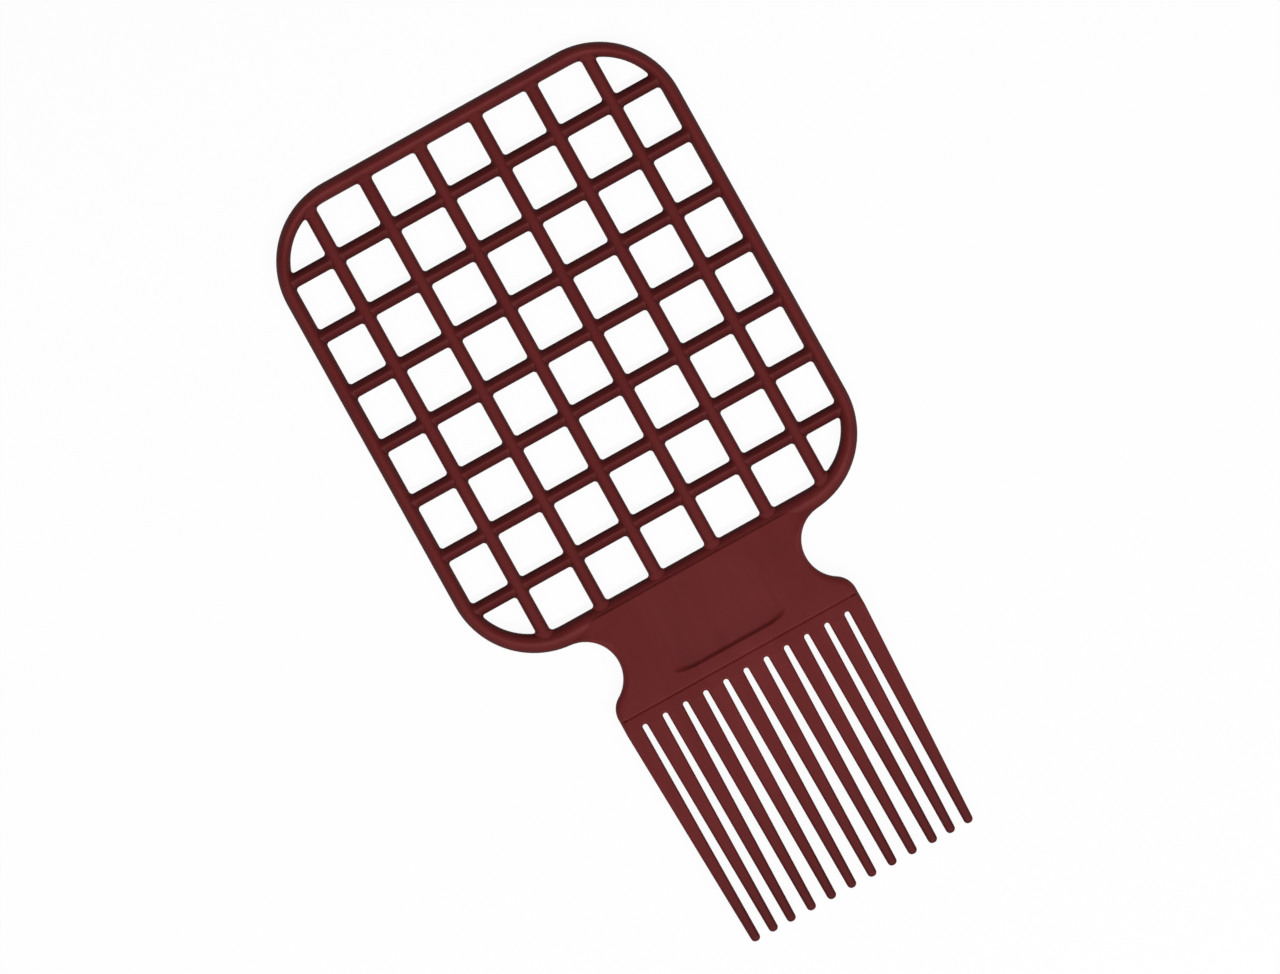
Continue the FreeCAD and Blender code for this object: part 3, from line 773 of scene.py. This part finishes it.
def make_neck(settings):
    """The neck plate, with its finger notches and its thumb rest."""
    neck = Neck(settings)
    half = neck.half_outline()
    outline = half + mirrored(half)
    last = len(outline) - 1
    crease = len(half) - len(CREASE_STOPS)
    ties = [(k, last - k) for k in range(crease, len(half) - 1)]
    bm = bmesh.new()
    lines = neck.rest_lines() + neck.web_lines()
    plate(bm, outline, neck.top, neck.bottom, neck.sizes.edge_round, lines, neck.web_lines(), ties)
    add_piece(settings, "neck_plate", bm)


class Comb:
    """Where the teeth stand."""

    def __init__(self):
        self.low, self.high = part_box("tooth_bar")
        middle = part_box(TEETH[len(TEETH) // 2])
        self.root_width = middle[1].x - middle[0].x
        self.pitch = (self.high.x - self.low.x - self.root_width) / (len(TEETH) - 1)
        self.root_y = self.low.y
        self.tip_y = middle[0].y

    def tooth_x(self, number):
        """The middle of a tooth's root, counted from the left."""
        return (number - (len(TEETH) - 1) / 2) * self.pitch


def make_tooth_bar(settings):
    """The bar across the shoulders, with a round root to each gap."""
    neck = Neck(settings)
    comb = Comb()
    inwards = Vector((-1, 0))
    right = list(reversed(neck.crease_side(comb.high.x, -1)))
    # The shoulders' fuller rounding runs out along the bar's side, before the outer teeth start.
    side_y = right[-1][0].y
    for k in range(1, ROUND_STEPS + 1):
        part = k / ROUND_STEPS
        spot = Vector((comb.high.x, side_y + (comb.root_y - side_y) * part))
        right.append(neck.fuller(spot, inwards, 1 - part))
    gap = (comb.pitch - comb.root_width) / 2
    roots = []
    for number in range(len(TEETH) - 1, 0, -1):
        centre = Vector(((comb.tooth_x(number) + comb.tooth_x(number - 1)) / 2, comb.root_y))
        roots += arc(centre, gap, 0.0, pi, CORNER_STEPS // 2, hollow=True)
    outline = right + roots + mirrored(right)
    last = len(outline) - 1
    ties = [(k, last - k) for k in range(1, len(CREASE_STOPS))]

    def top(x, y):
        return comb.high.z - neck.crease(y)

    def bottom(x, y):
        return comb.low.z + neck.crease(y)

    bm = bmesh.new()
    plate(bm, outline, top, bottom, neck.sizes.edge_round, [], [], ties)
    add_piece(settings, "tooth_bar", bm)


def round_section(x, y, z, half_width, half_height, radius):
    """Points round a tooth's section, a rectangle with round corners."""
    points = []
    for corner in range(4):
        side = 1 if corner in (0, 3) else -1
        rise = 1 if corner in (0, 1) else -1
        for k in range(ROUND_STEPS + 1):
            turn = (corner + k / ROUND_STEPS) * pi / 2
            across = side * (half_width - radius) + radius * cos(turn)
            up = rise * (half_height - radius) + radius * sin(turn)
            points.append((x + across, y, z + up))
    return points


def make_tooth(settings, number):
    """One tooth, which narrows and thins to a blunt round tip."""
    sizes = settings.teeth
    comb = Comb()
    from_end = min(number, len(TEETH) - 1 - number)
    inwards = 1 if number == from_end else -1
    lean = inwards * {0: sizes.outer_lean, 1: sizes.second_lean}.get(from_end, 0.0)
    mid_height = (comb.low.z + comb.high.z) / 2
    long = comb.root_y - comb.tip_y

    def ring(part, inset):
        half_width = (comb.root_width + (sizes.tip_width - comb.root_width) * part) / 2 - inset
        thick = comb.high.z - comb.low.z
        half_height = (thick + (sizes.tip_thickness - thick) * part) / 2 - inset
        edge = settings.neck.edge_round + (sizes.tip_edge - settings.neck.edge_round) * part
        radius = min(max(edge - inset, LEAST_ROUND), half_width, half_height)
        x = comb.tooth_x(number) + lean * part
        return round_section(x, comb.root_y - long * part, mid_height, half_width, half_height, radius)

    blunt = 1 - sizes.tip_round / long
    rings = [ring(blunt * k / TOOTH_STEPS, 0.0) for k in range(TOOTH_STEPS + 1)]
    for k in range(1, ROUND_STEPS + 1):
        turn = pi / 2 * k / ROUND_STEPS
        rings.append(ring(blunt + (1 - blunt) * sin(turn), sizes.tip_round * (1 - cos(turn))))
    bm = bmesh.new()
    loft(bm, rings)
    add_piece(settings, TEETH[number], bm)


def seen_rays(start):
    """1 for the rays that show the background: straight ones, and ones by way of a shiny or clear face."""
    seen = start.node("ShaderNodeLightPath", output="Is Camera Ray")
    for kind in ("Is Glossy Ray", "Is Transmission Ray"):
        seen = seen.larger(start.node("ShaderNodeLightPath", output=kind))
    return seen


def paper_material(stage):
    """A white floor that shows as plain paper with a faint shadow."""
    material, start = new_material("paper")
    shown = seen_rays(start)
    matt = start.node("ShaderNodeBsdfDiffuse", None, {"Color": (*stage.paper, 1.0)})
    glow = start.node("ShaderNodeEmission", None, {"Color": (*stage.paper, 1.0), "Strength": 1.0})
    shader = start.node("ShaderNodeMixShader", None, {0: shown * stage.paper_glow, 1: matt, 2: glow})
    start.node("ShaderNodeOutputMaterial", None, {"Surface": shader})
    return material


def make_floor(stage):
    """The paper that the pick lies on."""
    bm = bmesh.new()
    bmesh.ops.create_grid(bm, x_segments=2, y_segments=2, size=FLOOR_REACH)
    mesh = bpy.data.meshes.new("paper_floor")
    bm.to_mesh(mesh)
    bm.free()
    mesh.materials.append(paper_material(stage))
    floor = bpy.data.objects.new("paper_floor", mesh)
    floor.location.z = CAD_BOX[0].z - FLOOR_GAP
    bpy.context.scene.collection.objects.link(floor)
    floor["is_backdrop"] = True


def make_world(stage):
    """Even light from all round, which shows as white paper."""
    world = bpy.data.worlds.new("soft_room")
    world.use_nodes = True
    world.node_tree.nodes.clear()
    start = Socket(world.node_tree)
    seen = seen_rays(start)
    white = (*stage.paper, 1.0)
    room = start.node("ShaderNodeBackground", None, {"Color": white, "Strength": stage.sky_level})
    paper = start.node("ShaderNodeBackground", None, {"Color": white, "Strength": 1.0})
    light = start.node("ShaderNodeMixShader", None, {0: seen, 1: room, 2: paper})
    start.node("ShaderNodeOutputWorld", None, {"Surface": light})
    bpy.context.scene.world = world


def make_light(stage):
    """A long soft lamp across the pick, which stands a little towards the teeth and points at it."""
    lamp = bpy.data.lights.new("key_lamp", "AREA")
    lamp.shape = "RECTANGLE"
    lamp.size = stage.key_width
    lamp.size_y = stage.key_depth
    lamp.energy = stage.key_power
    holder = bpy.data.objects.new("key_lamp", lamp)
    forward = -stage.key_away * sin(stage.key_tilt)
    holder.location = (0.0, forward, stage.key_away * cos(stage.key_tilt))
    holder.rotation_euler = (stage.key_tilt, 0.0, 0.0)
    bpy.context.scene.collection.objects.link(holder)


def make_camera(stage):
    """A long lens straight above the pick."""
    data = bpy.data.cameras.new("photo_view")
    data.lens = stage.lens
    camera = bpy.data.objects.new("photo_view", data)
    away = stage.view_width * data.lens / data.sensor_width
    camera.location = (*stage.view_middle, CAD_BOX[0].z + HALF_THICK + away)
    camera.rotation_euler = (0.0, 0.0, stage.view_turn)
    bpy.context.scene.collection.objects.link(camera)
    bpy.context.scene.camera = camera


class AFROPICK_OT_rim(Operator):
    """Build the rim of the handle"""

    bl_idname = "afro_pick.rim"
    bl_label = "Handle Rim"

    def execute(self, context):
        make_rim(context.scene.afro_pick)
        return {"FINISHED"}


class AFROPICK_OT_long_bars(Operator):
    """Build the long bars of the lattice"""

    bl_idname = "afro_pick.long_bars"
    bl_label = "Long Bars"

    def execute(self, context):
        for node in LONG_BARS:
            make_long_bar(context.scene.afro_pick, node)
        return {"FINISHED"}


class AFROPICK_OT_cross_bars(Operator):
    """Build the cross bars of the lattice"""

    bl_idname = "afro_pick.cross_bars"
    bl_label = "Cross Bars"

    def execute(self, context):
        for node in CROSS_BARS:
            make_cross_bar(context.scene.afro_pick, node)
        return {"FINISHED"}


class AFROPICK_OT_neck(Operator):
    """Build the neck plate with its notches and thumb rest"""

    bl_idname = "afro_pick.neck"
    bl_label = "Neck Plate"

    def execute(self, context):
        make_neck(context.scene.afro_pick)
        return {"FINISHED"}


class AFROPICK_OT_tooth_bar(Operator):
    """Build the bar that carries the teeth"""

    bl_idname = "afro_pick.tooth_bar"
    bl_label = "Tooth Bar"

    def execute(self, context):
        make_tooth_bar(context.scene.afro_pick)
        return {"FINISHED"}


class AFROPICK_OT_teeth(Operator):
    """Build the teeth"""

    bl_idname = "afro_pick.teeth"
    bl_label = "Teeth"

    def execute(self, context):
        for number in range(len(TEETH)):
            make_tooth(context.scene.afro_pick, number)
        return {"FINISHED"}


class AFROPICK_OT_stage(Operator):
    """Set up the floor, the light and the camera"""

    bl_idname = "afro_pick.stage"
    bl_label = "Stage"

    def execute(self, context):
        stage = context.scene.afro_pick.stage
        context.scene.view_settings.view_transform = "Standard"
        make_floor(stage)
        make_world(stage)
        make_light(stage)
        make_camera(stage)
        return {"FINISHED"}


BUILDERS = (
    AFROPICK_OT_rim,
    AFROPICK_OT_long_bars,
    AFROPICK_OT_cross_bars,
    AFROPICK_OT_neck,
    AFROPICK_OT_tooth_bar,
    AFROPICK_OT_teeth,
    AFROPICK_OT_stage,
)


class AFROPICK_PT_pick(Panel):
    """Sizes, colours and members of the pick"""

    bl_idname = "AFROPICK_PT_pick"
    bl_label = "Afro Pick"
    bl_space_type = "VIEW_3D"
    bl_region_type = "UI"
    bl_category = "Pick"

    def draw(self, context):
        settings = context.scene.afro_pick
        for group in ("handle", "neck", "teeth", "finish", "stage"):
            box = self.layout.box()
            box.label(text=group.capitalize())
            values = getattr(settings, group)
            for name in values.__annotations__:
                box.prop(values, name)
        for builder in BUILDERS:
            self.layout.operator(builder.bl_idname)


CLASSES = (
    HandleSizes,
    NeckSizes,
    ToothSizes,
    PlasticFinish,
    StageLook,
    PickSettings,
    *BUILDERS,
    AFROPICK_PT_pick,
)


def register():
    """Adds the classes and the scene's settings."""
    for item in CLASSES:
        bpy.utils.register_class(item)
    bpy.types.Scene.afro_pick = PointerProperty(type=PickSettings)


def unregister():
    """Takes the settings and the classes away again."""
    del bpy.types.Scene.afro_pick
    for item in reversed(CLASSES):
        bpy.utils.unregister_class(item)


def main():
    """Builds every member and the stage."""
    register()
    bpy.ops.afro_pick.rim()
    bpy.ops.afro_pick.long_bars()
    bpy.ops.afro_pick.cross_bars()
    bpy.ops.afro_pick.neck()
    bpy.ops.afro_pick.tooth_bar()
    bpy.ops.afro_pick.teeth()
    bpy.ops.afro_pick.stage()
    boxes = {"cad": CAD_BOX, "visual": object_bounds()}
    {name: [list(corner) for corner in box] for name, box in boxes.items()}


if __name__ == "__main__":
    main()
